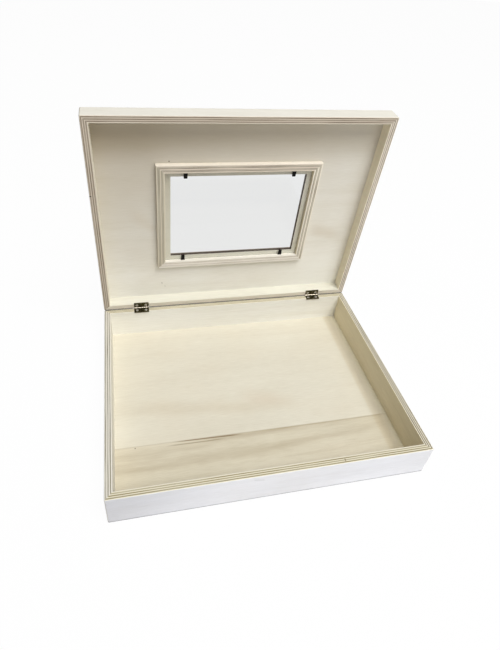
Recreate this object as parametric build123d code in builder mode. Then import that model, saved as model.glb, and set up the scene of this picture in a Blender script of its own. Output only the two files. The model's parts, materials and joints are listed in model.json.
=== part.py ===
from build123d import *
from math import cos, radians, sin
import os

# A wooden box for photos and papers. A shallow tray of mitred plywood walls is the base.
# The lid is a lower ring of the same walls with a panel on top. A window is cut through the
# panel, and a frame of four rails inside the lid holds a pane of glass over the window.
# Two small butt hinges join lid and base, and four bendable tabs keep a photo on the glass.
#
# The origin is the middle of the base's underside. X runs to the right, Y to the back and
# Z up. The box is drawn with its lid open and leaning on its stop.

# --- Driving sizes, in millimetres and degrees --------------------------------------------

# The box as a whole
box_width = 350.0
box_depth = 275.0
base_height = 43.0
lid_height = 20.0
wall_thickness = 8.0
bottom_thickness = 3.0
top_thickness = 4.0
panel_lap = 4.0  # how far a panel reaches into the rebate in each wall
corner_round = 1.6  # sanded upright corners
edge_round = 1.0  # sanded outer edges

# The lid's swing
lid_open_angle = 85.5  # from closed to leaning on the stop
closed_gap = 0.4  # between the rims of the closed box
stop_gap = 0.2  # between the rounded back edges where the open lid stops

# The window and its frame
photo_width = 180.0  # a 13 x 18 cm photo, laid on its side
photo_depth = 130.0
glass_thickness = 2.0
glass_bevel = 0.3
ledge = 7.0  # panel left under each edge of the glass
rail_width = 10.0
rail_height = 6.0
rail_edge_round = 0.5

# The tabs that keep the photo in its frame
tab_width = 5.3  # at the root
tab_tip_width = 4.3
tab_length = 8.0
tab_thickness = 0.5
tab_tip_round = 0.9
tab_lift = 1.0  # room between glass and tab for the photo and a card
front_tab_inset = 24.2  # from the end of the frame's opening to the middle of a tab
back_tab_inset = 23.0
tang_depth = 5.0  # the end of each tab that is driven into its rail

# The hinges and their screws
hinge_length = 20.0
hinge_inset = 50.0  # from the box's side to a hinge's middle
leaf_thickness = 0.9
leaf_overhang = 1.6  # how far a leaf reaches past the wall, over the hollow
leaf_corner_round = 0.8
knuckle_count = 5
knuckle_radius = 1.5
pin_radius = 0.7
pin_head_radius = 1.1
pin_head_thickness = 0.5
pin_head_round = 0.3
screw_spacing = 12.0
screw_shank_radius = 1.0
screw_length = 8.0
screw_tip_length = 2.5
cross_length = 2.2  # the cross recess in each screw's head
cross_width = 0.5
cross_depth = 0.5

# Clearances
panel_clearance = 0.1  # round each panel in its rebate
glass_clearance = 0.3  # round the glass in its frame
tab_clearance = 0.1  # between a tab's round root and the rail
knuckle_gap = 0.2  # between neighbouring knuckles
knuckle_clearance = 0.3  # round the barrel, in wood and leaf
pin_clearance = 0.04  # round the pin in every knuckle
mortise_clearance = 0.1  # round each leaf in its mortise
cut_margin = 1.0  # how far a cut starts outside the piece that it shapes

# --- Sizes that follow --------------------------------------------------------------------

rebate_width = box_width - 2 * (wall_thickness - panel_lap)
rebate_depth = box_depth - 2 * (wall_thickness - panel_lap)

opening_width = photo_width + 2 * glass_clearance  # inside the frame
opening_depth = photo_depth + 2 * glass_clearance
frame_width = opening_width + 2 * rail_width
frame_depth = opening_depth + 2 * rail_width
window_width = opening_width - 2 * ledge
window_depth = opening_depth - 2 * ledge

# The pin lies a little inside the back faces, so that the rounded back edges of lid and base
# meet when the lid has swung through its angle. That is the lid's stop.
half_swing = radians(lid_open_angle / 2)
edge_rise = closed_gap / 2 + edge_round
edge_reach = (edge_rise * cos(half_swing) - edge_round - stop_gap / 2) / sin(half_swing)
pin_setback = edge_round + edge_reach
pin_y = box_depth / 2 - pin_setback
pin_z = base_height + closed_gap / 2

barrel_room = knuckle_radius + knuckle_clearance
leaf_face = closed_gap / 2  # from the pin up to a leaf's show face, which is flush with the rim
leaf_reach = wall_thickness - pin_setback + leaf_overhang
knuckle_length = (hinge_length - (knuckle_count - 1) * knuckle_gap) / knuckle_count
knuckle_pitch = knuckle_length + knuckle_gap
screw_line = (wall_thickness - pin_setback + barrel_room) / 2  # from the pin to mid-wood
screw_head_radius = screw_shank_radius + leaf_thickness  # a 45 degree head, as deep as the leaf

panel_face = lid_height - top_thickness  # the panel's inner face, above the lid's rim
tab_level = panel_face - glass_thickness - tab_lift - tab_thickness / 2
tab_root = tab_clearance + tab_thickness / 2  # from the rail to the line where a tab bends

# --- Planes that the pieces are drawn on --------------------------------------------------

# Lid pieces are drawn as if the lid were closed: x right, y back, z up, with the rim at z = 0
# and the box's middle at x = y = 0. The plane leans them back with the open lid.
lid_turn = radians(lid_open_angle)
lid_up = Vector(0, sin(lid_turn), cos(lid_turn))
lid_back = Vector(0, cos(lid_turn), -sin(lid_turn))
lid_middle = Vector(0, pin_y, pin_z) + lid_back * (pin_setback - box_depth / 2) + lid_up * (closed_gap / 2)
base_plane = Plane.XY
lid_plane = Plane(origin=lid_middle, x_dir=(1, 0, 0), z_dir=lid_up)

# A hinge's planes have the pin along x and the wood towards +z. The base's is turned over,
# so that one drawing of a leaf serves both.
hinge_places = {"left": hinge_inset - box_width / 2, "right": box_width / 2 - hinge_inset}
base_hinge_planes = {
    side: Plane(origin=(x, pin_y, pin_z), x_dir=(-1, 0, 0), z_dir=(0, 0, -1)) for side, x in hinge_places.items()
}
lid_hinge_planes = {
    side: Plane(origin=(x, pin_y, pin_z), x_dir=(1, 0, 0), z_dir=lid_up) for side, x in hinge_places.items()
}


# The same plane, turned about its own z.
def turned(plane, angle):
    return Plane(plane.location * Rotation(0, 0, angle))


# A tab's plane has its bend line along x and the glass towards +y.
def tab_plane(end, side):
    inset = front_tab_inset if end == "front" else back_tab_inset
    x = (opening_width / 2 - inset) * (1 if side == "right" else -1)
    y = opening_depth / 2 - tab_root
    y_place, angle = (-y, 0) if end == "front" else (y, 180)
    origin = lid_plane.from_local_coords((x, y_place, tab_level))
    return turned(Plane(origin=origin, x_dir=lid_plane.x_dir, z_dir=lid_plane.z_dir), angle)


tab_planes = {(end, side): tab_plane(end, side) for end in ("front", "back") for side in ("left", "right")}


def finish(part, name):
    part.label = name
    export_step(part, f"parts/{name}.step")


os.makedirs("parts", exist_ok=True)

# --- Mitred rings: the walls of base and lid, and the window's frame ------------------------

side_turns = {"front": 0, "right": 90, "back": 180, "left": 270}


# Keeps one side of a ring, cut at 45 degrees through the ring's corners.
def keep_one_side(plane, width, depth, thickness, height, side):
    length, across = (width, depth) if side in ("front", "back") else (depth, width)
    outer_end = length / 2 + cut_margin
    outer_edge = across / 2 + cut_margin
    reach = thickness + 2 * cut_margin
    with BuildSketch(turned(plane, side_turns[side])) as trapezoid:
        with BuildLine():
            Polyline(
                (-outer_end, -outer_edge),
                (outer_end, -outer_edge),
                (outer_end - reach, reach - outer_edge),
                (reach - outer_end, reach - outer_edge),
                close=True,
            )
        make_face()
    extrude(trapezoid.sketch, amount=height, mode=Mode.INTERSECT)


# A wall of base or lid: plywood with sanded outer edges and a rebate for the panel.
def box_wall(plane, height, rebate_start, rebate_height, side):
    with BuildPart() as wall:
        with BuildSketch(plane):
            RectangleRounded(box_width, box_depth, corner_round)
            Rectangle(box_width - 2 * wall_thickness, box_depth - 2 * wall_thickness, mode=Mode.SUBTRACT)
        extrude(amount=height)
        faces = wall.faces().sort_by(Axis(plane.origin, plane.z_dir))
        fillet(faces[0].outer_wire().edges() + faces[-1].outer_wire().edges(), radius=edge_round)
        with BuildSketch(plane.offset(rebate_start)):
            Rectangle(rebate_width, rebate_depth)
        extrude(amount=rebate_height, mode=Mode.SUBTRACT)
        keep_one_side(plane, box_width, box_depth, wall_thickness, height, side)
    return wall.part


# Cuts the mortise for a leaf, the notch for the barrel and the pilot holes for two screws.
def cut_hinge_seat(plane):
    back_edge = pin_setback + cut_margin
    mortise_reach = leaf_reach + mortise_clearance
    mortise_length = hinge_length + 2 * mortise_clearance
    notch_length = hinge_length + 2 * (pin_head_thickness + knuckle_clearance)
    with BuildSketch(plane) as mortise:
        with Locations((0, -mortise_reach)):
            Rectangle(mortise_length, mortise_reach + back_edge, align=(Align.CENTER, Align.MIN))
    extrude(mortise.sketch, amount=leaf_face + leaf_thickness, mode=Mode.SUBTRACT)
    with BuildSketch(plane) as notch:
        with Locations((0, -barrel_room)):
            Rectangle(notch_length, barrel_room + back_edge, align=(Align.CENTER, Align.MIN))
    extrude(notch.sketch, amount=barrel_room, mode=Mode.SUBTRACT)
    with BuildSketch(plane) as pilot_holes:
        with Locations((-screw_spacing / 2, -screw_line), (screw_spacing / 2, -screw_line)):
            Circle(screw_shank_radius)
    extrude(pilot_holes.sketch, amount=leaf_face + screw_length, mode=Mode.SUBTRACT)


# --- Base ---------------------------------------------------------------------------------

for side in ("front", "left", "right"):
    finish(box_wall(base_plane, base_height, 0, bottom_thickness, side), f"base_{side}_wall")

with BuildPart() as base_back_wall:
    add(box_wall(base_plane, base_height, 0, bottom_thickness, "back"))
    for hinge_plane in base_hinge_planes.values():
        cut_hinge_seat(hinge_plane)
finish(base_back_wall.part, "base_back_wall")

with BuildPart() as base_bottom_panel:
    with BuildSketch(base_plane):
        Rectangle(rebate_width - 2 * panel_clearance, rebate_depth - 2 * panel_clearance)
    extrude(amount=bottom_thickness)
finish(base_bottom_panel.part, "base_bottom_panel")

# --- Lid ----------------------------------------------------------------------------------

for side in ("front", "left", "right"):
    finish(box_wall(lid_plane, lid_height, panel_face, top_thickness, side), f"lid_{side}_wall")

with BuildPart() as lid_back_wall:
    add(box_wall(lid_plane, lid_height, panel_face, top_thickness, "back"))
    for hinge_plane in lid_hinge_planes.values():
        cut_hinge_seat(hinge_plane)
finish(lid_back_wall.part, "lid_back_wall")

with BuildPart() as lid_top_panel:
    with BuildSketch(lid_plane.offset(panel_face)):
        Rectangle(rebate_width - 2 * panel_clearance, rebate_depth - 2 * panel_clearance)
        Rectangle(window_width, window_depth, mode=Mode.SUBTRACT)
    extrude(amount=top_thickness)
finish(lid_top_panel.part, "lid_top_panel")

# --- Window frame, glass and tabs -----------------------------------------------------------

rail_plane = lid_plane.offset(panel_face - rail_height)


# A rail of the frame, with a slot for each tab that is driven into it.
def frame_rail(side):
    with BuildPart() as rail:
        with BuildSketch(rail_plane):
            Rectangle(frame_width, frame_depth)
            Rectangle(opening_width, opening_depth, mode=Mode.SUBTRACT)
        extrude(amount=rail_height)
        show_face = rail.faces().sort_by(Axis(rail_plane.origin, rail_plane.z_dir))[0]
        fillet(show_face.edges(), radius=rail_edge_round)
        keep_one_side(rail_plane, frame_width, frame_depth, rail_width, rail_height, side)
        for (end, _), plane in tab_planes.items():
            if end == side:
                tang(plane, Mode.SUBTRACT)
    return rail.part


# The end of a tab that is inside the rail, or with Mode.SUBTRACT the slot for it.
def tang(plane, mode):
    with BuildSketch(plane.offset(-tab_thickness / 2)) as strip:
        with Locations((0, -tab_root)):
            Rectangle(tab_width, tang_depth, align=(Align.CENTER, Align.MAX))
    extrude(strip.sketch, amount=tab_thickness, mode=mode)


for side in side_turns:
    finish(frame_rail(side), f"window_frame_{side}_rail")

with BuildPart() as window_glass:
    with BuildSketch(lid_plane.offset(panel_face - glass_thickness)):
        Rectangle(photo_width, photo_depth)
    extrude(amount=glass_thickness)
    flats = window_glass.faces().sort_by(Axis(lid_plane.origin, lid_plane.z_dir))
    chamfer(flats[0].edges() + flats[-1].edges(), length=glass_bevel)
finish(window_glass.part, "window_glass")

for (end, side), plane in tab_planes.items():
    with BuildPart() as tab:
        with BuildSketch(plane.offset(-tab_thickness / 2)) as outline:
            with BuildLine():
                Polyline(
                    (-tab_width / 2, 0),
                    (tab_width / 2, 0),
                    (tab_tip_width / 2, tab_length),
                    (-tab_tip_width / 2, tab_length),
                    close=True,
                )
            make_face()
            fillet(outline.vertices().group_by(Axis.Y)[-1], radius=tab_tip_round)
        extrude(amount=tab_thickness)
        with BuildSketch(Plane(origin=plane.origin, x_dir=plane.y_dir, z_dir=plane.x_dir)):
            Circle(tab_thickness / 2)
        extrude(amount=tab_width / 2, both=True)
    finish(tab.part, f"tab_{end}_{side}")

with BuildPart() as tab_tangs:
    for plane in tab_planes.values():
        tang(plane, Mode.ADD)
finish(tab_tangs.part, "tab_tangs")

# --- Hinges -------------------------------------------------------------------------------


# A plane across the pin, from which a knuckle or the pin runs along the hinge.
def across_pin(plane, x):
    return Plane(origin=plane.from_local_coords((x, 0, 0)), x_dir=plane.y_dir, z_dir=plane.x_dir)


# The planes of a leaf's two screw heads, which face away from the wood.
def screw_seats(plane):
    return [
        Plane(
            origin=plane.from_local_coords((x, -screw_line, leaf_face)), x_dir=plane.x_dir, z_dir=-plane.z_dir
        )
        for x in (-screw_spacing / 2, screw_spacing / 2)
    ]


# A leaf with every second knuckle, counted from the given one.
def hinge_leaf(plane, first_knuckle):
    with BuildPart() as leaf:
        with BuildSketch(plane.offset(leaf_face)) as slab:
            with Locations((0, -leaf_reach)):
                Rectangle(hinge_length, leaf_reach - barrel_room, align=(Align.CENTER, Align.MIN))
            fillet(slab.vertices().group_by(Axis.Y)[0], radius=leaf_corner_round)
            for knuckle in range(first_knuckle, knuckle_count, 2):
                with Locations((knuckle * knuckle_pitch - hinge_length / 2, 0)):
                    Rectangle(knuckle_length, barrel_room, align=(Align.MIN, Align.MAX))
        extrude(amount=leaf_thickness)
        for knuckle in range(first_knuckle, knuckle_count, 2):
            with BuildSketch(across_pin(plane, knuckle * knuckle_pitch - hinge_length / 2)):
                Circle(knuckle_radius)
            extrude(amount=knuckle_length)
        with BuildSketch(across_pin(plane, -hinge_length / 2)):
            Circle(pin_radius + pin_clearance)
        extrude(amount=hinge_length, mode=Mode.SUBTRACT)
        with Locations(*screw_seats(plane)):
            CounterSinkHole(screw_shank_radius, screw_head_radius, depth=2 * leaf_thickness, counter_sink_angle=90)
    return leaf.part


# The pin has a rounded head at each end, which keeps it in the base leaf's outer knuckles.
def hinge_pin(plane):
    with BuildPart() as pin:
        with BuildSketch(across_pin(plane, -hinge_length / 2)):
            Circle(pin_radius)
        extrude(amount=hinge_length)
        for end, outwards in ((-hinge_length / 2, -1), (hinge_length / 2, 1)):
            with BuildSketch(across_pin(plane, end)):
                Circle(pin_head_radius)
            extrude(amount=outwards * pin_head_thickness)
        ends = pin.faces().sort_by(Axis(plane.origin, plane.x_dir))
        fillet(ends[0].edges() + ends[-1].edges(), radius=pin_head_round)
    return pin.part


# Countersunk cross-head screws, two for each leaf.
def hinge_screws(planes):
    with BuildPart() as screws:
        for plane in planes.values():
            for seat in screw_seats(plane):
                with BuildSketch(Plane(origin=seat.origin, x_dir=seat.x_dir, z_dir=-seat.y_dir)):
                    with BuildLine():
                        Polyline(
                            (0, 0),
                            (screw_head_radius, 0),
                            (screw_shank_radius, -leaf_thickness),
                            (screw_shank_radius, screw_tip_length - screw_length),
                            (0, -screw_length),
                            close=True,
                        )
                    make_face()
                revolve(axis=Axis(seat.origin, seat.z_dir))
                with BuildSketch(seat):
                    Rectangle(cross_length, cross_width)
                    Rectangle(cross_width, cross_length)
                extrude(amount=-cross_depth, mode=Mode.SUBTRACT)
    return screws.part


for side in hinge_places:
    finish(hinge_leaf(base_hinge_planes[side], 0), f"hinge_{side}_base_leaf")
    finish(hinge_leaf(lid_hinge_planes[side], 1), f"hinge_{side}_lid_leaf")
    finish(hinge_pin(lid_hinge_planes[side]), f"hinge_{side}_pin")

finish(hinge_screws(base_hinge_planes), "base_hinge_screws")
finish(hinge_screws(lid_hinge_planes), "lid_hinge_screws")
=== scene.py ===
# %% [markdown]
# # A wooden box for photos, with a window in its lid
#
# This lesson dresses a finished CAD model of a small plywood box and photographs it. The box
# has a shallow base, a lid on two small hinges, and in the lid a pane of glass in a frame of
# four rails. Four bendable metal tabs hold a photo on the glass.
#
# The CAD pieces arrive in their right places, so nothing here is moved. What we add is what a
# solid can't hold: the layers and grain of plywood, the patina of old bronze, the rolled
# knuckles of a hinge, and the light of a photo studio.

# %% Load the frame
import json
import math

import bmesh
import bpy
from mathutils import Matrix, Vector


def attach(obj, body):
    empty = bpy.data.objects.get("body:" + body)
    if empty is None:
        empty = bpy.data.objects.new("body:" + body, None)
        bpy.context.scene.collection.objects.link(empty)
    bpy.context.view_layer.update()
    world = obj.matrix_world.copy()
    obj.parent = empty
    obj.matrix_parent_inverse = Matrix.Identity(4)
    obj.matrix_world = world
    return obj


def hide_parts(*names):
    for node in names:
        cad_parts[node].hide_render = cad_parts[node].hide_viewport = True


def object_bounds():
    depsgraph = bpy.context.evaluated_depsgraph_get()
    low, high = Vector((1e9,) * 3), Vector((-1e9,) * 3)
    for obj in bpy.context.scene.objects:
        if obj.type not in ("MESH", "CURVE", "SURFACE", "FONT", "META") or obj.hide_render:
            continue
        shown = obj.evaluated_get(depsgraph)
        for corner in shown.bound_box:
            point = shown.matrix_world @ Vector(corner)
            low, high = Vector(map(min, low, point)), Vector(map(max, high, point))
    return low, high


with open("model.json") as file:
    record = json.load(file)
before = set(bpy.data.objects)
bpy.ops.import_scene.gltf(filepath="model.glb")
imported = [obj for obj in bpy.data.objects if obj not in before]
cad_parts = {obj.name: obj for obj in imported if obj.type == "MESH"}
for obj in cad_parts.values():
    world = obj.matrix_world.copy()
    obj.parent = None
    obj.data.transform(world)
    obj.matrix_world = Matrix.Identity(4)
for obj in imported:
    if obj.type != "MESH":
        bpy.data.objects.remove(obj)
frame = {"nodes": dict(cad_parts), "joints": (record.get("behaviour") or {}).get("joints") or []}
nodes = frame["nodes"]
cad_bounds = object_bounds()
spans = [round(high - low, 4) for low, high in zip(*cad_bounds)]
print("pieces:", len(nodes), "- the box spans", spans, "m")

# %% [markdown]
# ## Where the lid is
#
# The lid leans back on its hinges. To draw wood grain along its walls we need the lid's own
# directions: x to the right, y towards the hinges and z from its rim to its top. One matrix
# holds them. It comes from the hinge's place and from how far the lid is open, so it needs no
# measuring by eye.

# %% The lid's own directions
MM = 0.001
BOX_WIDTH, BOX_DEPTH = 350 * MM, 275 * MM
BASE_HEIGHT, LID_HEIGHT = 43 * MM, 20 * MM
WALL, TOP, BOTTOM = 8 * MM, 4 * MM, 3 * MM
RIM_GAP = 0.4 * MM

hinge = next(joint for joint in frame["joints"] if joint["name"] == "lid_hinge")
pin = Vector(hinge["pos_m"])
swing = Matrix.Rotation(-math.radians(max(hinge["range_deg"])), 4, "X")
lid_closed = Matrix.Translation((0, 0, BASE_HEIGHT + RIM_GAP))
lid_place = Matrix.Translation(pin) @ swing @ Matrix.Translation(-pin) @ lid_closed
print("middle of the lid's rim:", [round(value, 4) for value in lid_place.translation])

# %% [markdown]
# ## The camera
#
# The photograph looks down into the box from the front left. The camera stands where the
# real one stood, worked out from the corners of the box in the picture. Its small shift is the
# part of the photograph's framing that turning the camera can't give.

# %% Camera
camera_data = bpy.data.cameras.new("camera")
camera_data.sensor_width = 36
camera_data.sensor_fit = "HORIZONTAL"
camera_data.lens = 34.81
camera_data.shift_x = 0.0209
camera_data.shift_y = -0.0685
camera_data.clip_start = 0.01
camera = bpy.data.objects.new("camera", camera_data)
camera.location = (-0.13340, -0.38378, 0.49039)
camera.rotation_euler = [math.radians(angle) for angle in (51.4156, -4.6023, -12.0810)]
bpy.context.collection.objects.link(camera)
bpy.context.scene.camera = camera
print("camera at", [round(value, 3) for value in camera.location])

# %% [markdown]
# ## Small helpers for materials
#
# Every finish below is a network of shader nodes. Three helpers keep those networks short to
# read. `add` makes any node, `calc` makes one step of arithmetic, and `blend` mixes two
# colours. Colours are given as the values that a paint chart or a picture shows, so `tone`
# turns them into the linear values that Blender works with.

# %% Helpers for materials
def add(tree, kind, settings=None, **inputs):
    made = tree.nodes.new("ShaderNode" + kind)
    for name, value in (settings or {}).items():
        setattr(made, name, value)
    for name, value in inputs.items():
        join(tree, value, made.inputs[name.replace("_", " ")])
    return made


def join(tree, value, socket):
    if isinstance(value, bpy.types.NodeSocket):
        tree.links.new(value, socket)
    else:
        socket.default_value = value


def calc(tree, operation, *values, clamp=False):
    made = add(tree, "Math", {"operation": operation, "use_clamp": clamp})
    for value, socket in zip(values, made.inputs):
        join(tree, value, socket)
    return made.outputs[0]


def blend(tree, amount, first, second, kind="MIX"):
    made = add(tree, "Mix", {"data_type": "RGBA", "blend_type": kind})
    for value, socket in zip((amount, first, second), (made.inputs[0], made.inputs[6], made.inputs[7])):
        join(tree, value, socket)
    return made.outputs[2]


def tone(red, green, blue):
    linear = [((c / 255 + 0.055) / 1.055) ** 2.4 if c > 10 else c / 255 / 12.92 for c in (red, green, blue)]
    return (*linear, 1.0)


def noise(tree, place, stretch, detail=2.0, seed=0.0):
    moved = add(tree, "Mapping", Vector=place, Scale=stretch, Location=(seed, seed * 0.7, seed * 1.3))
    return add(tree, "TexNoise", Vector=moved.outputs[0], Scale=1.0, Detail=detail).outputs["Fac"]


def rescale(tree, value, low, high, to_low=0.0, to_high=1.0):
    made = add(tree, "MapRange", {"clamp": True})
    for given, socket in zip((value, low, high, to_low, to_high), made.inputs):
        join(tree, given, socket)
    return made.outputs[0]


def new_material(name):
    material = bpy.data.materials.new(name)
    material.use_nodes = True
    material.node_tree.nodes.clear()
    return material, material.node_tree


def dress(node_name, material):
    nodes[node_name].material_slots[0].material = material


print("helpers ready")

# %% [markdown]
# ## Plywood
#
# The walls, the rails and the panels are poplar plywood: sheets of pale veneer, glued with
# their grain crossing. On a face we see soft clouds and a few long streaks. On a cut edge we
# see the sheets themselves as thin lines, pale where the grain runs along the edge and brown
# where it is cut across.
#
# Painting faces and edges apart would need a seam at every corner. It is simpler to fill the
# solid: the colour depends on how deep under the face a point lies, as in the real board. A
# rounded or cut edge then shows the right layers by itself. So each board gets its own
# coordinates in millimetres: x along its face grain, y down through its layers, and z across.

# %% Board coordinates
def board_coordinates(tree, corner):
    place = add(tree, "TexCoord").outputs["Object"]
    moved = add(
        tree,
        "Mapping",
        {"vector_type": "TEXTURE"},
        Vector=place,
        Location=corner.translation,
        Rotation=corner.to_euler(),
        Scale=(MM, MM, MM),
    )
    return moved.outputs[0]


def ring_corner(width, depth, turn):
    """The corner at which one side of a ring of boards starts, with y pointing inwards."""
    across = {0: (-width, -depth), 90: (width, -depth), 180: (width, depth), 270: (-width, depth)}[turn]
    return Matrix.Translation((across[0] / 2, across[1] / 2, 0)) @ Matrix.Rotation(math.radians(turn), 4, "Z")


FLAT = Matrix.Rotation(math.radians(90), 4, "X")
print("a panel's layers run along", [round(value) for value in FLAT.to_3x3() @ Vector((0, 1, 0))])

# %% [markdown]
# The veneer is built from the largest mark to the smallest: clouds as long as a hand, streaks
# a few millimetres wide, and fibres that only a close look shows. Each is plain noise, pulled
# out along the grain. Poplar is a quiet wood, so all of them stay faint. The fibres also raise
# the surface a little, so that light rakes over them.

# %% Veneer
def veneer(tree, place, pale, deep, seed, streaks, blush=0.16):
    clouds = noise(tree, place, (0.009, 0.25, 0.024), 3.0, seed)
    bands = noise(tree, place, (0.005, 0.3, 0.12), 3.0, seed + 11)
    fibres = noise(tree, place, (0.07, 1.0, 1.8), 4.0, seed + 23)
    mix = calc(tree, "ADD", calc(tree, "MULTIPLY", clouds, 0.65), calc(tree, "MULTIPLY", bands, 0.35))
    body = blend(tree, rescale(tree, mix, 0.36, 0.64), pale, deep)
    warm = rescale(tree, noise(tree, place, (0.012, 0.3, 0.016), 2.0, seed + 5), 0.45, 0.7, 0.0, blush)
    body = blend(tree, warm, body, tone(224, 210, 186))
    grey = calc(tree, "MULTIPLY", rescale(tree, bands, 0.56, 0.76), streaks)
    streaked = blend(tree, grey, body, tone(176, 158, 128))
    pores = noise(tree, place, (0.14, 1.0, 2.8), 1.0, seed + 31)
    dashes = calc(tree, "MULTIPLY", rescale(tree, pores, 0.66, 0.8), 0.8 * streaks)
    dashed = blend(tree, dashes, streaked, tone(158, 138, 106))
    grain = blend(tree, rescale(tree, fibres, 0.3, 0.7), tone(178, 168, 146), tone(250, 247, 236))
    lively = blend(tree, 0.15, dashed, grain)
    return lively, fibres


print("veneer ready")

# %% [markdown]
# Some marks are where they are on this box alone: a joint between two sheets, a brown streak
# of heartwood, a pin knot. A streak is a line with soft sides. We lay a small coordinate
# system along it, so that x runs from 0 to 1 and z counts widths away from it. Noise bends
# the line a little, because nothing in wood is ruled.

# %% Marks in the wood
def smooth(tree, value, low, high):
    made = add(tree, "MapRange", {"clamp": True, "interpolation_type": "SMOOTHSTEP"})
    for given, socket in zip((value, low, high), made.inputs):
        join(tree, given, socket)
    return made.outputs[0]


def streak(tree, place, start, end, width, bend=0.0, fade=0.15):
    run, rise = end[0] - start[0], end[1] - start[1]
    length = math.hypot(run, rise)
    along = add(
        tree,
        "Mapping",
        {"vector_type": "TEXTURE"},
        Vector=place,
        Location=(start[0], 0, start[1]),
        Rotation=(0, math.atan2(-rise, run), 0),
        Scale=(length, 1, width),
    )
    parts = add(tree, "SeparateXYZ", Vector=along.outputs[0]).outputs
    wobble = calc(tree, "SUBTRACT", noise(tree, place, (0.02, 0, 0.05), 3.0, 7.7), 0.5)
    away = calc(tree, "ABSOLUTE", calc(tree, "ADD", parts["Z"], calc(tree, "MULTIPLY", wobble, 2 * bend / width)))
    across = smooth(tree, away, 1.0, 0.0)
    begin, finish = smooth(tree, parts["X"], -fade, fade), smooth(tree, parts["X"], 1 + fade, 1 - fade)
    return calc(tree, "MULTIPLY", across, calc(tree, "MULTIPLY", begin, finish))


def mark(tree, colour, mask, strength, shade):
    return blend(tree, calc(tree, "MULTIPLY", mask, strength), colour, shade)


print("marks ready")

# %% [markdown]
# A cut edge shows the layers. Their borders wander by a tenth of a millimetre or so, because
# veneer is never quite even. Two neighbouring sheets cross: one shows its long grain, which is
# pale, and the next its end grain, which is darker. The glue between them is a thin brown
# line. Here and there a joint stayed open, and the line is nearly black.

# %% Layers
def layers(tree, place, thickness, count, face, cut, seed, open_joints=0.4, line=0.2):
    core, end_pale, end_deep, torn = cut
    depth = add(tree, "SeparateXYZ", Vector=place).outputs["Y"]
    wander = calc(tree, "MULTIPLY", calc(tree, "SUBTRACT", noise(tree, place, (0.02, 0.0, 0.02), 2.0, seed), 0.5), 0.5)
    level = calc(tree, "DIVIDE", calc(tree, "ADD", depth, wander), thickness)
    crossed = add(tree, "ValToRGB", Fac=level)
    glue = add(tree, "ValToRGB", Fac=level)
    ramp, thin = crossed.color_ramp, glue.color_ramp
    ramp.interpolation = "CONSTANT"
    ramp.elements[0].color = ramp.elements[1].color = (0, 0, 0, 1)
    thin.elements[0].color = thin.elements[1].color = (0, 0, 0, 1)
    half_line = line / thickness
    for index in range(count - 1):
        border = (index + 1) / count
        shade = 1.0 - index % 2
        ramp.elements.new(border).color = (shade, shade, shade, 1)
        for offset, shade in ((-half_line, 0.0), (0.0, 1.0), (half_line, 0.0)):
            thin.elements.new(border + offset).color = (shade, shade, shade, 1)
    to_face = calc(tree, "MINIMUM", depth, calc(tree, "SUBTRACT", thickness, depth))
    ends = noise(tree, place, (0.03, 0.9, 0.03), 3.0, seed + 3)
    grit = noise(tree, place, (1.6, 0.9, 1.6), 3.0, seed + 9)
    gaps = noise(tree, place, (0.024, 1.3, 0.024), 3.0, seed + 5)
    end_grain = blend(tree, rescale(tree, ends, 0.35, 0.65), end_pale, end_deep)
    end_grain = blend(tree, rescale(tree, grit, 0.45, 0.75, 0.0, 0.25), end_grain, torn)
    boards = blend(tree, smooth(tree, to_face, 0.1, 0.5), face, core)
    clear = rescale(tree, noise(tree, place, (0.017, 0.8, 0.017), 3.0, seed + 15), 0.36, 0.56, 0.6, 1.0)
    boards = blend(tree, calc(tree, "MULTIPLY", crossed.outputs[0], clear), boards, end_grain)
    lined = mark(tree, boards, glue.outputs[0], 0.55, end_deep)
    is_open = calc(tree, "MULTIPLY", glue.outputs[0], rescale(tree, gaps, 0.48, 0.57))
    return mark(tree, lined, is_open, open_joints, torn)


CLOUD_BROWN = tone(182, 160, 122)
BASE_CUT = (tone(234, 228, 206), tone(174, 162, 124), tone(140, 127, 90), tone(98, 84, 54))
LID_CUT = (tone(208, 196, 178), tone(152, 137, 119), tone(124, 110, 94), tone(86, 72, 56))
GREY_CUT = (tone(238, 234, 222), tone(180, 173, 154), tone(138, 131, 114), tone(98, 88, 68))
DARK_CUT = (tone(230, 223, 204), tone(142, 132, 106), tone(106, 96, 72), tone(80, 70, 48))
print("layers ready")

# %% [markdown]
# A plywood material joins the two. The veneer colour is the colour of the outer sheets, the
# layers decide where it shows, and edges that hands and sandpaper reach are a little paler.
# The Bevel node finds those edges: there the rounded normal that it gives differs from the
# real one.

# %% Plywood
def worn_edges(tree, reach):
    rounded = add(tree, "Bevel", {"samples": 4}, Radius=reach).outputs[0]
    plain = add(tree, "NewGeometry").outputs["Normal"]
    likeness = add(tree, "VectorMath", {"operation": "DOT_PRODUCT"})
    join(tree, rounded, likeness.inputs[0])
    join(tree, plain, likeness.inputs[1])
    return rescale(tree, likeness.outputs["Value"], 0.995, 0.8)


def pale_edges(tree, colour):
    worn = calc(tree, "MULTIPLY", worn_edges(tree, 0.7 * MM), 0.2)
    return blend(tree, worn, colour, tone(240, 234, 218))


def finish_wood(tree, colour, fibres):
    height = add(tree, "Bump", Strength=0.25, Distance=0.1 * MM, Height=fibres)
    skin = add(
        tree,
        "BsdfPrincipled",
        Base_Color=colour,
        Roughness=rescale(tree, fibres, 0.3, 0.7, 0.62, 0.78),
        Specular_IOR_Level=0.3,
        Normal=height.outputs[0],
    )
    out = add(tree, "OutputMaterial")
    tree.links.new(skin.outputs[0], out.inputs[0])


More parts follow.
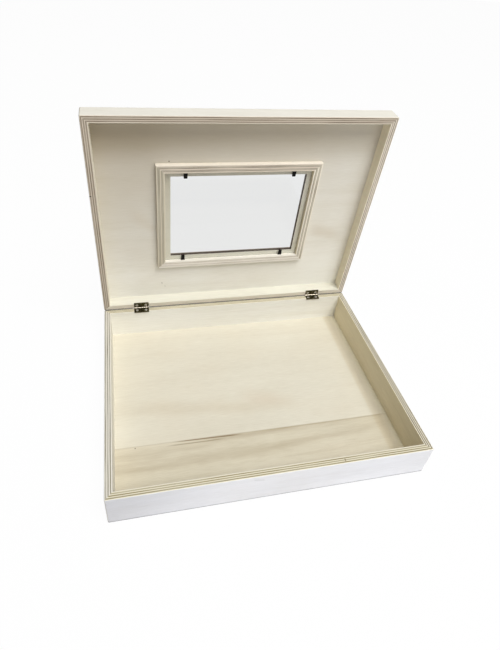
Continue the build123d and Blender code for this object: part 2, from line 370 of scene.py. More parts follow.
def plywood(name, corner, thickness, count, sheets, cut, seed, **marks):
    """sheets holds the pale and deep tones of the outer sheet, then those of the inner one."""
    material, tree = new_material(name)
    place = board_coordinates(tree, corner)
    depth = add(tree, "SeparateXYZ", Vector=place).outputs["Y"]
    inner = calc(tree, "GREATER_THAN", depth, thickness / MM / 2)
    pale, deep = (blend(tree, inner, sheets[shade], sheets[shade + 2]) for shade in (0, 1))
    colour, fibres = veneer(tree, place, pale, deep, seed, marks.get("streaks", 0.1), 0.07)
    if "on_face" in marks:
        colour = marks["on_face"](tree, place, colour)
    open_joints, line = marks.get("open_joints", 0.4), marks.get("line", 0.2)
    colour = layers(tree, place, thickness / MM, count, colour, cut, seed, open_joints, line)
    if "on_rim" in marks:
        colour = marks["on_rim"](tree, place, colour)
    colour = pale_edges(tree, colour)
    colour = painted_foot_and_groove_shade(tree, place, colour, name)
    finish_wood(tree, colour, fibres)
    return material


def painted_foot_and_groove_shade(tree, place, colour, name):
    """Painted shade along the box's foot, and a painted brown shadow in the groove where lid and base meet."""
    parts = add(tree, "SeparateXYZ", Vector=place).outputs
    if "base" in name:
        # painted shade: a grey line along the foot, where the box meets the floor
        foot = calc(tree, "MULTIPLY", rescale(tree, parts["Z"], 2.8, 1.6), calc(tree, "LESS_THAN", parts["Y"], 2.0))
        colour = mark(tree, colour, foot, 0.6, tone(118, 116, 120))
    if "back_wall" in name:
        # painted shadow: dark brown on the back walls' rims, in the groove where lid and base meet
        rim = BASE_HEIGHT / MM if "base" in name else 0.0
        from_rim = calc(tree, "ABSOLUTE", calc(tree, "SUBTRACT", parts["Z"], rim))
        corner = calc(tree, "MAXIMUM", from_rim, parts["Y"])
        colour = mark(tree, colour, rescale(tree, corner, 1.8, 1.1), 1.0, tone(58, 52, 26))
    return colour


SIDES = {"front": 0, "right": 90, "back": 180, "left": 270}
WALL_SHEETS, RAIL_SHEETS, PANEL_SHEETS = 7, 5, 3
print("sides:", list(SIDES), "- sheets in a wall, a rail and a panel:", WALL_SHEETS, RAIL_SHEETS, PANEL_SHEETS)

# %% [markdown]
# The walls' boards have seven sheets. Each wall's inside has its own two tones, a pale and a
# deep one. These are partly the tone of its board and partly painted light: the right walls
# are yellower for the warm light that bounces onto them. The base's outside is pale wood with
# painted cool light. The side walls of the base have cut edges of their own. Painted shade
# makes the front wall a little grey at its left end. It also carries a grey smudge under its
# rim, and its rim has a dark dot where two sheets end. The rim of the lid's left wall has a
# small knot. Marks on a rim are laid over the layers, those on a face under them.

# %% Walls
def front_marks(tree, place, colour):
    parts = add(tree, "SeparateXYZ", Vector=place).outputs
    # painted shade: the front face turns grey towards its left end
    painted_shade_left_end = calc(tree, "MULTIPLY", smooth(tree, parts["X"], 130, -10), calc(tree, "LESS_THAN", parts["Y"], 1.0))
    colour = mark(tree, colour, painted_shade_left_end, 0.3, tone(150, 150, 156))
    smudge = streak(tree, place, (147.5, 38), (158, 35.5), 1.2, 0.5)
    return mark(tree, colour, smudge, 0.32, tone(150, 146, 142))


def front_rim(tree, place, colour):
    depth = add(tree, "SeparateXYZ", Vector=place).outputs["Y"]
    middle = calc(tree, "LESS_THAN", calc(tree, "ABSOLUTE", calc(tree, "SUBTRACT", depth, 4.0)), 1.4)
    stop = streak(tree, place, (246.0, 43), (247.2, 43), 1.6)
    return mark(tree, colour, calc(tree, "MULTIPLY", stop, middle), 0.7, tone(110, 92, 56))


def knot_on_rim(tree, place, colour):
    outer = calc(tree, "LESS_THAN", add(tree, "SeparateXYZ", Vector=place).outputs["Y"], 2.4)
    knot = streak(tree, place, (181.1, 0), (182.3, 0), 2.0)
    return mark(tree, colour, calc(tree, "MULTIPLY", knot, outer), 1.0, tone(40, 34, 30))


# Painted light: the base's outside is pale wood with painted cool light on it.
BASE_OUTSIDE_TONE_AND_COOL_LIGHT = (tone(241, 242, 247), tone(234, 235, 240))
LID_OUTSIDE = (tone(236, 233, 223), tone(227, 223, 211))
# Partly each board's tone and partly painted light: the right walls are yellower for bounced warm light.
BASE_INSIDE_TONE_AND_LIGHT = {
    "front": (tone(244, 241, 231), tone(236, 232, 219)),
    "right": (tone(242, 231, 200), tone(234, 222, 189)),
    "back": (tone(247, 246, 239), tone(240, 238, 228)),
    "left": (tone(238, 236, 226), tone(230, 227, 215)),
}
LID_INSIDE_TONE_AND_LIGHT = {
    "front": (tone(233, 228, 212), tone(224, 218, 200)),
    "right": (tone(244, 235, 211), tone(236, 225, 197)),
    "back": (tone(225, 224, 210), tone(217, 214, 199)),
    "left": (tone(236, 231, 214), tone(228, 221, 202)),
}
LID_CUTS = {
    "front": LID_CUT,
    "right": (tone(232, 223, 206), tone(178, 165, 148), tone(142, 128, 112), tone(98, 84, 68)),
    "back": (tone(238, 231, 217), tone(222, 214, 198), tone(198, 188, 169), tone(130, 116, 92)),
    "left": LID_CUT,
}
for number, (side, turn) in enumerate(SIDES.items()):
    corner = ring_corner(BOX_WIDTH, BOX_DEPTH, turn)
    sheets = BASE_OUTSIDE_TONE_AND_COOL_LIGHT + BASE_INSIDE_TONE_AND_LIGHT[side]
    cut = {"left": GREY_CUT, "right": DARK_CUT}.get(side, BASE_CUT)
    marks = {"on_face": front_marks, "on_rim": front_rim} if side == "front" else {}
    name = f"base_{side}_wall"
    dress(name, plywood(name + "_wood", corner, WALL, WALL_SHEETS, sheets, cut, 3.1 * number, **marks))
    sheets = LID_OUTSIDE + LID_INSIDE_TONE_AND_LIGHT[side]
    cut = LID_CUTS[side]
    marks = {"on_rim": knot_on_rim} if side == "left" else {}
    name, corner = f"lid_{side}_wall", lid_place @ corner
    dress(name, plywood(name + "_wood", corner, WALL, WALL_SHEETS, sheets, cut, 3.1 * number + 40, **marks))
print("walls dressed:", len(SIDES) * 2)

# %% [markdown]
# The window's rails stand on edge, so they show their five sheets to the room. Each rail has
# its own tones. The far one is grey with open joints, like dark pencil lines, the near one is
# nearly white, and the two at the sides lie between them.

# %% Rails
OPENING_WIDTH, OPENING_DEPTH, RAIL = 180.6 * MM, 130.6 * MM, 10 * MM
RAIL_TONES = {
    "front": (tone(240, 232, 218), tone(232, 222, 206), tone(206, 196, 176), tone(194, 183, 162)),
    "right": (tone(232, 226, 210), tone(222, 214, 196), tone(226, 214, 184), tone(214, 200, 168)),
    "back": (tone(222, 213, 196), tone(212, 202, 184), tone(240, 235, 224), tone(232, 226, 214)),
    "left": (tone(196, 184, 160), tone(182, 169, 145), tone(226, 218, 200), tone(216, 207, 188)),
}
RAIL_CUTS = {
    "front": (tone(218, 207, 190), tone(196, 185, 168), tone(168, 157, 140), tone(64, 50, 38)),
    "right": (tone(236, 229, 214), tone(210, 201, 182), tone(166, 154, 131), tone(70, 57, 44)),
    "back": (tone(240, 235, 224), tone(228, 220, 208), tone(208, 198, 184), tone(122, 96, 72)),
    "left": (tone(205, 197, 177), tone(188, 180, 162), tone(160, 151, 134), tone(104, 90, 64)),
}
OPEN_JOINTS = {"front": 1.0, "right": 0.9, "back": 0.6, "left": 0.6}
for number, (side, turn) in enumerate(SIDES.items()):
    corner = lid_place @ ring_corner(OPENING_WIDTH + 2 * RAIL, OPENING_DEPTH + 2 * RAIL, turn)
    rail_wood = plywood(
        f"rail_{side}_wood",
        corner,
        RAIL,
        RAIL_SHEETS,
        RAIL_TONES[side],
        RAIL_CUTS[side],
        2.7 * number + 83,
        streaks=0.15,
        open_joints=OPEN_JOINTS[side],
        line=0.42,
    )
    dress(f"window_frame_{side}_rail", rail_wood)
print("rails dressed:", len(SIDES))

# %% [markdown]
# The lid's panel was cut by a laser. Its beam leaves the edge of the window brown, darkest
# next to the glass, where the smoke gathers. In the panel's solid texture that is a thin
# frame round the opening: a point is scorched if it lies nearer than a fraction of a
# millimetre to the cut. Painted shade darkens the veneer towards the wall that is far from
# the hinges and towards the left side, with a painted shadow of that wall along it. The panel
# is a little darker inside the frame. Painted light makes the corner by the right hinge paler.
# There are two brown clouds and three small dark marks. The outer face has none of these marks.

# %% The lid's panel
WINDOW_WIDTH, WINDOW_DEPTH, BEAM_ASIDE = 166.6, 116.6, 0.45


def scorch(tree, place, colour):
    parts = add(tree, "SeparateXYZ", Vector=place).outputs
    outside = [
        calc(tree, "SUBTRACT", calc(tree, "ABSOLUTE", calc(tree, "SUBTRACT", parts[axis], aside)), size / 2)
        for axis, size, aside in (("X", WINDOW_WIDTH, BEAM_ASIDE), ("Z", WINDOW_DEPTH, -BEAM_ASIDE))
    ]
    to_cut = calc(tree, "MAXIMUM", *outside)
    near = rescale(tree, to_cut, 0.4, 0.2)
    smoke = rescale(tree, parts["Y"], 3.4, 2.0, 0.6, 1.0)
    return mark(tree, colour, calc(tree, "MULTIPLY", near, smoke), 1.0, tone(58, 43, 38))


def panel_marks(tree, place, plain):
    parts = add(tree, "SeparateXYZ", Vector=place).outputs
    colour, grey = plain, tone(146, 128, 96)
    # painted shade: darker towards the far wall and towards the left
    painted_shade_to_far_wall = smooth(tree, parts["Z"], -115, 125)
    shade_towards_left = rescale(tree, parts["X"], 170, -120, 0.55, 1.0)
    colour = mark(tree, colour, calc(tree, "MULTIPLY", painted_shade_to_far_wall, shade_towards_left), 0.48, grey)
    # painted shadow of the far wall, a little paler right at the wall
    shadow_paler_at_wall = rescale(tree, parts["Z"], 110, 126, 1.0, 0.72)
    painted_far_wall_shadow = calc(tree, "MULTIPLY", smooth(tree, parts["Z"], 66, 106), shadow_paler_at_wall)
    colour = mark(tree, colour, calc(tree, "MULTIPLY", painted_far_wall_shadow, shade_towards_left), 0.52, grey)
    # painted shade on the left side of the panel
    left = calc(tree, "MULTIPLY", smooth(tree, parts["X"], -70, -125), smooth(tree, parts["Z"], -100, -40))
    colour = mark(tree, colour, left, 0.15, grey)
    beyond = []
    for axis, edge in (("X", 90.8), ("Z", 65.8)):
        from_middle = calc(tree, "ABSOLUTE", parts[axis])
        beyond.append(rescale(tree, from_middle, edge, edge - 0.5, 1.0, 0.0))
    in_frame = calc(tree, "SUBTRACT", 1.0, calc(tree, "MAXIMUM", *beyond))
    colour = mark(tree, colour, in_frame, 0.2, grey)
    # painted light: the corner by the right hinge is paler
    painted_light_corner = calc(tree, "MULTIPLY", smooth(tree, parts["X"], -10, 110), smooth(tree, parts["Z"], -50, -95))
    colour = mark(tree, colour, painted_light_corner, 0.35, tone(255, 254, 246))
    cloud = streak(tree, place, (108, -27), (148, -40), 15.0, 7.0, 0.3)
    colour = mark(tree, colour, cloud, 0.24, CLOUD_BROWN)
    cloud = streak(tree, place, (-130, 10), (-98, -22), 13.0, 9.0, 0.3)
    colour = mark(tree, colour, cloud, 0.12, CLOUD_BROWN)
    for start, end, width, strength in (
        ((-95.2, -106.5), (-94.8, -108.9), 0.7, 0.8),
        ((-91.6, -113.4), (-90.2, -114.2), 0.7, 0.7),
        ((-85.5, 77.6), (-84.1, 77.6), 1.2, 1.0),
    ):
        colour = mark(tree, colour, streak(tree, place, start, end, width), strength, tone(84, 68, 52))
    return blend(tree, calc(tree, "GREATER_THAN", parts["Y"], TOP / MM / 2), colour, plain)


PANEL_TONES = (tone(246, 244, 236), tone(239, 236, 225), tone(229, 226, 215), tone(220, 216, 202))
panel_corner = lid_place @ Matrix.Translation((0, 0, LID_HEIGHT - TOP)) @ FLAT


def panel_plywood():
    material, tree = new_material("lid_panel_wood")
    place = board_coordinates(tree, panel_corner)
    depth = add(tree, "SeparateXYZ", Vector=place).outputs["Y"]
    outer = calc(tree, "GREATER_THAN", depth, TOP / MM / 2)
    pale, deep = (blend(tree, outer, PANEL_TONES[shade], PANEL_TONES[shade + 2]) for shade in (0, 1))
    colour, fibres = veneer(tree, place, pale, deep, 120.0, 0.05)
    colour = panel_marks(tree, place, colour)
    colour = layers(tree, place, TOP / MM, PANEL_SHEETS, colour, LID_CUT, 120.0)
    colour = pale_edges(tree, colour)
    finish_wood(tree, scorch(tree, place, colour), fibres)
    return material


dress("lid_top_panel", panel_plywood())
print("lid panel dressed")

# %% [markdown]
# The bottom panel's veneer is two sheets side by side. The joint runs from wall to wall, and
# the narrower sheet in front of it is browner, with heartwood streaks that lie along the
# joint and sweep across the sheet. We make both sheets' veneer and let the joint choose. Beside
# the right wall a painted shadow of that wall darkens a narrow band, and painted light then
# brightens the wood up to the wall.

# %% The bottom panel
JOINT = 55.5


def bottom_plywood():
    material, tree = new_material("bottom_panel_wood")
    place = board_coordinates(tree, FLAT)
    across = add(tree, "SeparateXYZ", Vector=place).outputs["Z"]
    wide, fibres = veneer(tree, place, tone(223, 218, 201), tone(217, 211, 193), 140.0, 0.05)
    cloud = streak(tree, place, (-150, 3), (30, 26), 17.0, 8.0, 0.3)
    wide = mark(tree, wide, cloud, 0.18, CLOUD_BROWN)
    cloud = streak(tree, place, (-5, 4), (45, 18), 16.0, 9.0, 0.4)
    wide = mark(tree, wide, cloud, 0.18, tone(200, 172, 142))
    narrow = veneer(tree, place, tone(216, 208, 186), tone(203, 194, 170), 161.0, 0.28)[0]
    brown, dark = tone(160, 142, 110), tone(126, 104, 72)
    for start, end, width, bend, strength, shade in (
        ((-180, 86), (40, 83), 10.0, 9.0, 0.26, brown),
        ((10, 82), (150, 71), 9.0, 9.0, 0.16, brown),
        ((-165, 70), (-60, 66), 12.0, 8.0, 0.2, brown),
        ((10, 57), (180, 54.5), 4.5, 1.0, 0.52, brown),
        ((-60, 61), (40, 59), 6.0, 3.0, 0.34, brown),
        ((-104, 61.4), (-46, 61.6), 1.3, 0.6, 0.55, dark),
        ((-96, 57.2), (-26, 58.6), 1.6, 0.4, 0.9, dark),
    ):
        narrow = mark(tree, narrow, streak(tree, place, start, end, width, bend), strength, shade)
    joint = calc(tree, "ADD", JOINT, calc(tree, "MULTIPLY", noise(tree, place, (0.008, 0, 0), 1.0, 3.0), 3.0))
    past = calc(tree, "SUBTRACT", across, joint)
    colour = blend(tree, smooth(tree, past, -0.6, 0.6), wide, narrow)
    line = rescale(tree, calc(tree, "ABSOLUTE", past), 1.1, 0.2)
    colour = mark(tree, colour, line, 0.22, tone(142, 120, 86))
    along = add(tree, "SeparateXYZ", Vector=place).outputs["X"]
    # painted shadow of the right wall in a narrow band, then painted light up to the wall
    colour = mark(tree, colour, smooth(tree, along, 146, 151), 0.22, tone(190, 168, 118))
    colour = mark(tree, colour, smooth(tree, along, 155, 168), 0.8, tone(255, 249, 226))
    knot = streak(tree, place, (-145.2, 58.8), (-144.0, 58.8), 1.0)
    colour = mark(tree, colour, knot, 1.0, tone(70, 50, 34))
    colour = layers(tree, place, BOTTOM / MM, PANEL_SHEETS, colour, BASE_CUT, 140.0)
    finish_wood(tree, colour, fibres)
    return material


dress("base_bottom_panel", bottom_plywood())
print("bottom panel dressed, joint at", JOINT, "mm from the middle")

# %% [markdown]
# ## From a mesh to a piece
#
# Where a CAD solid's shape is too plain, we model a piece that stands for it. Every such piece
# is finished the same way: smooth shading with sharp edges by angle, and a fine bevel where one
# is asked for. It gets its materials, rides on its body's empty, and the CAD solid that it
# replaces is hidden.

# %% Finish a piece
def piece_from(shape, name, materials, body, replaced, bevel=None):
    mesh = bpy.data.meshes.new(name)
    shape.to_mesh(mesh)
    open_edges = sum(not edge.is_manifold for edge in shape.edges)
    shape.free()
    mesh.shade_smooth()
    mesh.set_sharp_from_angle(angle=math.radians(38))
    for material in materials:
        mesh.materials.append(material)
    piece = bpy.data.objects.new(name, mesh)
    bpy.context.collection.objects.link(piece)
    if bevel:
        rounding = piece.modifiers.new("rounding", "BEVEL")
        rounding.width = bevel
        rounding.segments = 2
        rounding.limit_method = "ANGLE"
        rounding.angle_limit = math.radians(50)
    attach(piece, body)
    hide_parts(replaced)
    print(f"{name}: {len(mesh.polygons)} faces, {open_edges} open edges")


# %% [markdown]
# ## Glass
#
# The pane is thin clear glass with ground edges. A ray tracer treats glass as a solid thing
# that throws a full shadow, so the wood behind a pane would look black. Real thin glass hardly
# shades at all. So shadow rays meet a clear surface, and only rays that we look along see the
# glass.
#
# The pane lies on the ledge. In the CAD model both share one plane, and there a ray tracer
# can't tell which comes first. So this pane is a twentieth of a millimetre thinner, on the
# side of the ledge.

# %% Glass
def glass(name):
    material, tree = new_material(name)
    place = add(tree, "TexCoord").outputs["Object"]
    haze = noise(tree, place, (30, 30, 30), 2.0)
    pane = add(
        tree,
        "BsdfPrincipled",
        Base_Color=tone(252, 253, 252),
        Roughness=rescale(tree, haze, 0.3, 0.7, 0.0, 0.015),
        IOR=1.3,
        Transmission_Weight=1.0,
    )
    clear = add(tree, "BsdfTransparent", Color=tone(252, 253, 252))
    path = add(tree, "LightPath")
    unlooked = calc(tree, "MAXIMUM", path.outputs["Is Shadow Ray"], path.outputs["Is Diffuse Ray"])
    choice = add(tree, "MixShader", Fac=unlooked)
    tree.links.new(pane.outputs[0], choice.inputs[1])
    tree.links.new(clear.outputs[0], choice.inputs[2])
    out = add(tree, "OutputMaterial")
    tree.links.new(choice.outputs[0], out.inputs[0])
    return material


PHOTO_WIDTH, PHOTO_DEPTH, GLASS_THICK, HAIR, GROUND = 180 * MM, 130 * MM, 2 * MM, 0.05 * MM, 0.3 * MM
pane_shape = bmesh.new()
bmesh.ops.create_cube(pane_shape, size=1.0)
bmesh.ops.scale(pane_shape, verts=list(pane_shape.verts), vec=(PHOTO_WIDTH, PHOTO_DEPTH, GLASS_THICK - HAIR))
flat_edges = [edge for edge in pane_shape.edges if abs(edge.verts[0].co.z - edge.verts[1].co.z) < HAIR]
bmesh.ops.bevel(pane_shape, geom=flat_edges, offset=GROUND, affect="EDGES", segments=1, profile=0.5, material=-1)
pane_place = lid_place @ Matrix.Translation((0, 0, LID_HEIGHT - TOP - (GLASS_THICK + HAIR) / 2))
bmesh.ops.transform(pane_shape, matrix=pane_place, space=Matrix(), verts=list(pane_shape.verts))
piece_from(pane_shape, "window_pane", [glass("window_glass")], "lid", "window_glass")

# %% [markdown]
# ## Metal
#
# The hinges are brass under a dark brown patina, cloudy like an old coin. Its edges are worn
# to bare brass. A painted highlight of bare brass runs along the barrel's side that faces up
# and forward. The screws are zinc-plated steel with painted shade in their crosses, and the
# tabs are painted black.

# %% Metal
def metal(name, dark, bright, patches, rough, wear, wear_and_highlight_tone, highlight_facing=None, seed=0.0, **more):
    material, tree = new_material(name)
    coordinates = add(tree, "TexCoord").outputs
    spots = noise(tree, coordinates["Object"], (patches, patches, patches), 4.0, seed)
    grit = noise(tree, coordinates["Object"], (6000, 6000, 6000), 2.0)
    body = blend(tree, rescale(tree, spots, 0.35, 0.65), dark, bright)
    wear_and_highlight = calc(tree, "MULTIPLY", worn_edges(tree, 0.2 * MM), wear)
    if highlight_facing:
        facing = add(tree, "VectorMath", {"operation": "DOT_PRODUCT"})
        join(tree, coordinates["Normal"], facing.inputs[0])
        facing.inputs[1].default_value = highlight_facing
        # painted highlight: bare brass on the barrel's side that faces up and forward
        painted_highlight = calc(tree, "MULTIPLY", rescale(tree, facing.outputs["Value"], 0.95, 0.995), on_barrel(tree))
        uneven = rescale(tree, spots, 0.36, 0.56, 0.3, 1.0)
        wear_and_highlight = calc(tree, "MAXIMUM", wear_and_highlight, calc(tree, "MULTIPLY", painted_highlight, uneven))
    colour = blend(tree, wear_and_highlight, body, wear_and_highlight_tone)
    height = add(tree, "Bump", Strength=0.15, Distance=0.03 * MM, Height=grit)
    skin = add(
        tree,
        "BsdfPrincipled",
        Base_Color=colour,
        Roughness=rescale(tree, spots, 0.3, 0.7, rough - 0.08, rough + 0.1),
        Normal=height.outputs[0],
        **more,
    )
    out = add(tree, "OutputMaterial")
    tree.links.new(skin.outputs[0], out.inputs[0])
    return material


def on_barrel(tree):
    """1 on the knuckles, which are the metal near the pin's middle line."""
    place = add(tree, "TexCoord").outputs["Object"]
    parts = add(tree, "SeparateXYZ", Vector=place).outputs
    off = [calc(tree, "SUBTRACT", parts[axis], value) for axis, value in (("Y", pin.y), ("Z", pin.z))]
    radius = calc(tree, "SQRT", calc(tree, "ADD", *(calc(tree, "MULTIPLY", value, value) for value in off)))
    return calc(tree, "LESS_THAN", radius, BARREL_REACH)


# Worn brass for edges, also used as the painted highlight along the barrel.
BRASS_WEAR_AND_HIGHLIGHT, SHINY = tone(208, 197, 180), tone(222, 216, 208)
HIGHLIGHT_FACING = (0, -0.55, 0.835)
BARREL_REACH = 1.6 * MM
BRONZE_TONES = (tone(46, 42, 31), tone(106, 101, 74))
bronze = metal("hinge_bronze", *BRONZE_TONES, 420, 0.36, 0.35, BRASS_WEAR_AND_HIGHLIGHT, HIGHLIGHT_FACING, 5.0, Metallic=1.0)
zinc = metal("screw_steel", tone(214, 210, 202), tone(236, 232, 226), 900, 0.42, 0.4, SHINY, Metallic=1.0)
# painted shade: a dark matt finish for the recess of each cross
cross_shade = metal("cross_dirt", tone(42, 36, 34), tone(66, 58, 54), 900, 0.6, 0.1, SHINY, Metallic=0.0)
PAINT = {"Metallic": 0.0, "Specular_IOR_Level": 0.12}
black = metal("tab_black", tone(9, 8, 8), tone(17, 16, 15), 800, 0.5, 0.1, BRASS_WEAR_AND_HIGHLIGHT, **PAINT)
for side in ("left", "right"):
    dress(f"hinge_{side}_pin", bronze)
for node_name in ("tab_front_left", "tab_front_right", "tab_back_left", "tab_back_right", "tab_tangs"):
    dress(node_name, black)
print("metal dressed")

# %% [markdown]
# ## Hinge leaves
#
# A leaf is one strip of brass. The maker cuts tongues into one edge and rolls each of them
# round the pin, so a knuckle isn't a solid ring: it is a curl, with a fine slit where its end
# meets the strip. We make it in the same order. The flat strip is an outline with two holes,
# filled and given its thickness. Each tongue's end is then drawn out and spun round the pin.
#
# The leaf is drawn flat, in millimetres: x along the pin, y towards the back of the box, z
# into the wood, and the pin's middle line at y = z = 0.

# %% A leaf's outline
LEAF_LENGTH, LEAF_REACH, LEAF_THICK, LEAF_FACE = 20.0, 8.9224, 0.9, 0.2
KNUCKLES, KNUCKLE_GAP, KNUCKLE_RADIUS, BORE = 5, 0.2, 1.5, 0.74
BARREL_ROOM = 1.8
SCREW_X, SCREW_Y = 6.0, -4.5612
HEAD_RADIUS, SHANK_RADIUS = 1.9, 1.0

knuckle_length = (LEAF_LENGTH - (KNUCKLES - 1) * KNUCKLE_GAP) / KNUCKLES
knuckle_spans = []
for number in range(KNUCKLES):
    start = number * (knuckle_length + KNUCKLE_GAP) - LEAF_LENGTH / 2
    knuckle_spans.append((start, start + knuckle_length))


def leaf_sheet(tongues):
    """The flat face of a leaf that looks away from the wood, with its two screw holes."""
    shape = bmesh.new()
    half = LEAF_LENGTH / 2
    back = sorted({-half, half, *(x for number in tongues for x in knuckle_spans[number])})
    outline = [(-half, -LEAF_REACH), (half, -LEAF_REACH), *((x, -BARREL_ROOM) for x in reversed(back))]
    corners = [shape.verts.new((x, y, LEAF_FACE)) for x, y in outline]
    face = shape.faces.new(corners)
    bmesh.ops.bevel(shape, geom=corners[:2], offset=0.8, affect="VERTICES", segments=5, profile=0.5, material=-1)
    bmesh.ops.delete(shape, geom=list(shape.faces), context="FACES_ONLY")
    for x in (-SCREW_X, SCREW_X):
        middle = Matrix.Translation((x, SCREW_Y, LEAF_FACE))
        bmesh.ops.create_circle(shape, radius=HEAD_RADIUS, segments=32, matrix=middle)
    bmesh.ops.triangle_fill(shape, use_beauty=True, use_dissolve=False, edges=list(shape.edges))
    return shape


trial = leaf_sheet((0, 2, 4))
print("a leaf's sheet:", round(sum(face.calc_area() for face in trial.faces), 1), "square mm")
trial.free()

# %% [markdown]
# The strip gets its thickness by extrusion. The holes narrow towards the wood, so that a
# screw's cone sits in them, and the tongues are rolled with `spin`, three quarters of a turn.
# A thin bevel by angle rounds all the edges at the end, because stamped brass has no sharp
# ones.

# %% Leaves
def rolled_leaf(tongues):
    shape = leaf_sheet(tongues)
    grown = bmesh.ops.extrude_face_region(shape, geom=list(shape.faces))["geom"]
    wood_side = [item for item in grown if isinstance(item, bmesh.types.BMVert)]
    bmesh.ops.translate(shape, verts=wood_side, vec=(0, 0, LEAF_THICK))
    for x in (-SCREW_X, SCREW_X):
        ring = [vert for vert in wood_side if math.hypot(vert.co.x - x, vert.co.y - SCREW_Y) < HEAD_RADIUS + 0.01]
        narrow = SHANK_RADIUS / HEAD_RADIUS
        middle = Matrix.Translation((-x, -SCREW_Y, 0))
        bmesh.ops.scale(shape, verts=ring, vec=(narrow, narrow, 1), space=middle)
    for number in tongues:
        roll_tongue(shape, *knuckle_spans[number])
    bmesh.ops.recalc_face_normals(shape, faces=list(shape.faces))
    return shape


def roll_tongue(shape, start, end):
    tip = next(
        face
        for face in shape.faces
        if all(abs(vert.co.y + BARREL_ROOM) < 0.001 and start - 0.01 < vert.co.x < end + 0.01 for vert in face.verts)
    )
    for y, low, high in ((-1.2, 0.24, 1.12), (-0.6, 0.5, 1.36), (0.0, BORE, KNUCKLE_RADIUS)):
        grown = bmesh.ops.extrude_face_region(shape, geom=[tip])["geom"]
        bmesh.ops.delete(shape, geom=[tip], context="FACES_ONLY")
        tip = next(item for item in grown if isinstance(item, bmesh.types.BMFace))
        middle = sum(vert.co.z for vert in tip.verts) / 4
        for vert in tip.verts:
            vert.co.y = y
            vert.co.z = low if vert.co.z < middle else high
    bmesh.ops.spin(
        shape,
        geom=[tip, *tip.edges, *tip.verts],
        cent=(0, 0, 0),
        axis=(1, 0, 0),
        angle=math.radians(-270),
        steps=20,
        use_merge=False,
        use_duplicate=False,
    )


HINGE_X = {"left": -125 * MM, "right": 125 * MM}
TURNS = {"base": Matrix.Rotation(math.radians(180), 4, "Y"), "lid": swing}
TONGUES = {"base": (0, 2, 4), "lid": (1, 3)}
SOFT_EDGE = 0.08 * MM
for side, x in HINGE_X.items():
    for body, turn in TURNS.items():
        leaf = rolled_leaf(TONGUES[body])
        place = Matrix.Translation((x, pin.y, pin.z)) @ turn @ Matrix.Scale(MM, 4)
        bmesh.ops.transform(leaf, matrix=place, space=Matrix(), verts=list(leaf.verts))
        node = f"hinge_{side}_{body}_leaf"
        piece_from(leaf, f"{side}_{body}_leaf", [bronze], body, node, SOFT_EDGE)

# %% [markdown]
# ## Screws
#
# A countersunk screw is a cone under a slightly domed head. Its cross is pressed in, so its
# walls slope. We start from the cross: a grid of three by three squares holds it as its middle
# row and middle column. A ring of faces joins the grid to the round edge of the head. The
# cross is pushed in, and the edge is drawn down into cone, shank and tip. The head is a little
# smaller than its hole, so a dark line shows round it. Nobody lines up crosses, so every screw
# is turned a little differently.

# %% Screws
CROSS_LENGTH, CROSS_WIDTH, CROSS_DEPTH, DOME = 2.2, 0.5, 0.5, 0.12
SCREW_LENGTH, TIP_LENGTH, SEAT_GAP = 8.0, 2.5, 0.16


def screw_shape():
    shape = bmesh.new()
    bmesh.ops.create_grid(shape, x_segments=3, y_segments=3, size=CROSS_LENGTH / 2)
    for axis in (0, 1):
        squeeze = [1.0, 1.0, 1.0]
        squeeze[axis] = 3 * CROSS_WIDTH / CROSS_LENGTH
        inner = [vert for vert in shape.verts if abs(vert.co[axis]) < 0.4 * CROSS_LENGTH]
        bmesh.ops.scale(shape, verts=inner, vec=squeeze)
    bmesh.ops.translate(shape, verts=list(shape.verts), vec=(0, 0, -DOME))
    square = [edge for edge in shape.edges if edge.is_boundary]
    rim = bmesh.ops.create_circle(shape, radius=HEAD_RADIUS - SEAT_GAP, segments=24)["verts"]
    rim_edges = list({edge for vert in rim for edge in vert.link_edges})
    bmesh.ops.bridge_loops(shape, edges=square + rim_edges)
    reach = CROSS_WIDTH / 2 + 0.01
    cross = [
        face
        for face in shape.faces
        if max(map(abs, face.calc_center_median()[:2])) < CROSS_LENGTH / 2
        and min(map(abs, face.calc_center_median()[:2])) < reach
        and all(max(abs(vert.co.x), abs(vert.co.y)) < CROSS_LENGTH / 2 + 0.01 for vert in face.verts)
    ]
    grown = bmesh.ops.extrude_face_region(shape, geom=cross)["geom"]
    bmesh.ops.delete(shape, geom=cross, context="FACES")
    floor_verts = [item for item in grown if isinstance(item, bmesh.types.BMVert)]
    bmesh.ops.translate(shape, verts=floor_verts, vec=(0, 0, CROSS_DEPTH))
    bmesh.ops.scale(shape, verts=floor_verts, vec=(0.75, 0.75, 1))
    for face in shape.faces:
        if any(vert in floor_verts for vert in face.verts):
            # painted shade: the cross's floor and walls take the dark matt finish
            face.material_index = 1
    edges = rim_edges
    shaft = SCREW_LENGTH - TIP_LENGTH
    for depth, radius in ((LEAF_THICK, SHANK_RADIUS), (shaft, SHANK_RADIUS), (SCREW_LENGTH, 0.12)):
        grown = bmesh.ops.extrude_edge_only(shape, edges=edges)["geom"]
        edges = [item for item in grown if isinstance(item, bmesh.types.BMEdge)]
        ring = [item for item in grown if isinstance(item, bmesh.types.BMVert)]
        now = max(math.hypot(vert.co.x, vert.co.y) for vert in ring)
        bmesh.ops.translate(shape, verts=ring, vec=(0, 0, depth - ring[0].co.z))
        bmesh.ops.scale(shape, verts=ring, vec=(radius / now, radius / now, 1))
    bmesh.ops.holes_fill(shape, edges=edges, sides=0)
    bmesh.ops.recalc_face_normals(shape, faces=list(shape.faces))
    return shape


one_screw = bpy.data.meshes.new("one_screw")
trial = screw_shape()
print("a screw:", len(trial.faces), "faces, open edges:", sum(not edge.is_manifold for edge in trial.edges))
trial.to_mesh(one_screw)
trial.free()

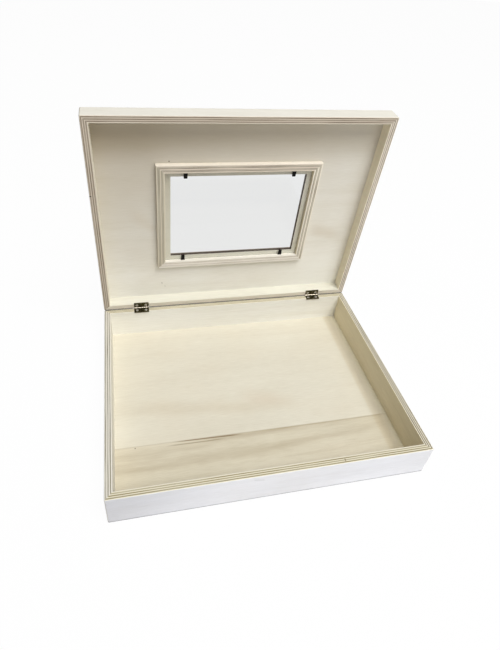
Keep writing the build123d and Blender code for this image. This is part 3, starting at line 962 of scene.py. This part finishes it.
CROSS_TURNS = (12, 48, 74, 31)
for body, turn in TURNS.items():
    screws = bmesh.new()
    seats = [(x, offset * MM) for x in HINGE_X.values() for offset in (-SCREW_X, SCREW_X)]
    for (x, offset), angle in zip(seats, CROSS_TURNS):
        already = set(screws.verts)
        screws.from_mesh(one_screw)
        seat = Matrix.Translation((x, pin.y, pin.z)) @ turn @ Matrix.Translation((offset, SCREW_Y * MM, LEAF_FACE * MM))
        place = seat @ Matrix.Rotation(math.radians(angle), 4, "Z") @ Matrix.Scale(MM, 4)
        fresh = [vert for vert in screws.verts if vert not in already]
        bmesh.ops.transform(screws, matrix=place, space=Matrix(), verts=fresh)
    piece_from(screws, f"{body}_screws", [zinc, cross_shade], body, f"{body}_hinge_screws")
bpy.data.meshes.remove(one_screw)
print("screws made for", list(TURNS))

# %% [markdown]
# ## The studio
#
# The box was photographed on white paper under one large soft lamp, far above it, in front
# and a little to the right. A weak lamp from low in front lightens the shadows. The lamps
# stand three metres away, so that the lid, which is nearer to them, is no brighter than the
# base.
#
# The floor and the backdrop show pure white to the camera and to reflections, and a pale grey
# through the pane, where the paper lies in the lid's shade. The object itself never sees that
# extra light: after a first bounce off something matt, a ray finds only the plain floor and a
# nearly dark sky.

# %% Sky and floor
def looked_at(tree):
    """1 for rays that we look along, straight or by way of metal and glass, and what they see."""
    path = add(tree, "LightPath").outputs
    seen = calc(tree, "MAXIMUM", path["Is Glossy Ray"], path["Is Transmission Ray"])
    direct = calc(tree, "LESS_THAN", path["Diffuse Depth"], 0.5)
    shade = blend(tree, path["Is Transmission Ray"], (1, 1, 1, 1), tone(235, 235, 236))
    return path["Is Camera Ray"], calc(tree, "MULTIPLY", seen, direct), shade


bpy.context.scene.view_settings.view_transform = "Standard"
world = bpy.data.worlds.new("studio")
bpy.context.scene.world = world
world.use_nodes = True
sky = world.node_tree
sky.nodes.clear()
camera_ray, by_mirror, shade = looked_at(sky)
ambient = add(sky, "Background", Color=(1, 1, 1, 1), Strength=0.12)
paper = add(sky, "Background", Color=shade, Strength=1.0)
choice = add(sky, "MixShader", Fac=calc(sky, "MAXIMUM", camera_ray, by_mirror))
sky.links.new(ambient.outputs[0], choice.inputs[1])
sky.links.new(paper.outputs[0], choice.inputs[2])
sky_out = add(sky, "OutputWorld")
sky.links.new(choice.outputs[0], sky_out.inputs[0])

floor_mesh = bpy.data.meshes.new("floor")
shape = bmesh.new()
bmesh.ops.create_grid(shape, x_segments=1, y_segments=1, size=4.0)
shape.to_mesh(floor_mesh)
shape.free()
floor = bpy.data.objects.new("floor", floor_mesh)
bpy.context.collection.objects.link(floor)

paper_material, tree = new_material("white_paper")
diffuse = add(tree, "BsdfDiffuse", Color=tone(242, 242, 243))
camera_ray, by_mirror, shade = looked_at(tree)
glow = add(tree, "Emission", Color=shade, Strength=1.0)
choice = add(tree, "MixShader", Fac=calc(tree, "MAXIMUM", calc(tree, "MULTIPLY", camera_ray, 0.97), by_mirror))
tree.links.new(diffuse.outputs[0], choice.inputs[1])
tree.links.new(glow.outputs[0], choice.inputs[2])
paper_out = add(tree, "OutputMaterial")
tree.links.new(choice.outputs[0], paper_out.inputs[0])
floor_mesh.materials.append(paper_material)
print("floor and sky ready")

# %% Lamps
def lamp(name, power, size, place, target):
    data = bpy.data.lights.new(name, "AREA")
    data.energy = power
    data.size = size
    made = bpy.data.objects.new(name, data)
    made.location = place
    made.rotation_euler = (Vector(target) - Vector(place)).to_track_quat("-Z", "Y").to_euler()
    bpy.context.collection.objects.link(made)


BOX_MIDDLE = (0, 0, 0.1)
lamp("key", 93.0, 1.7, (0.704, -1.220, 2.749), BOX_MIDDLE)
lamp("low", 8.0, 1.3, (0.930, -2.555, 1.368), BOX_MIDDLE)
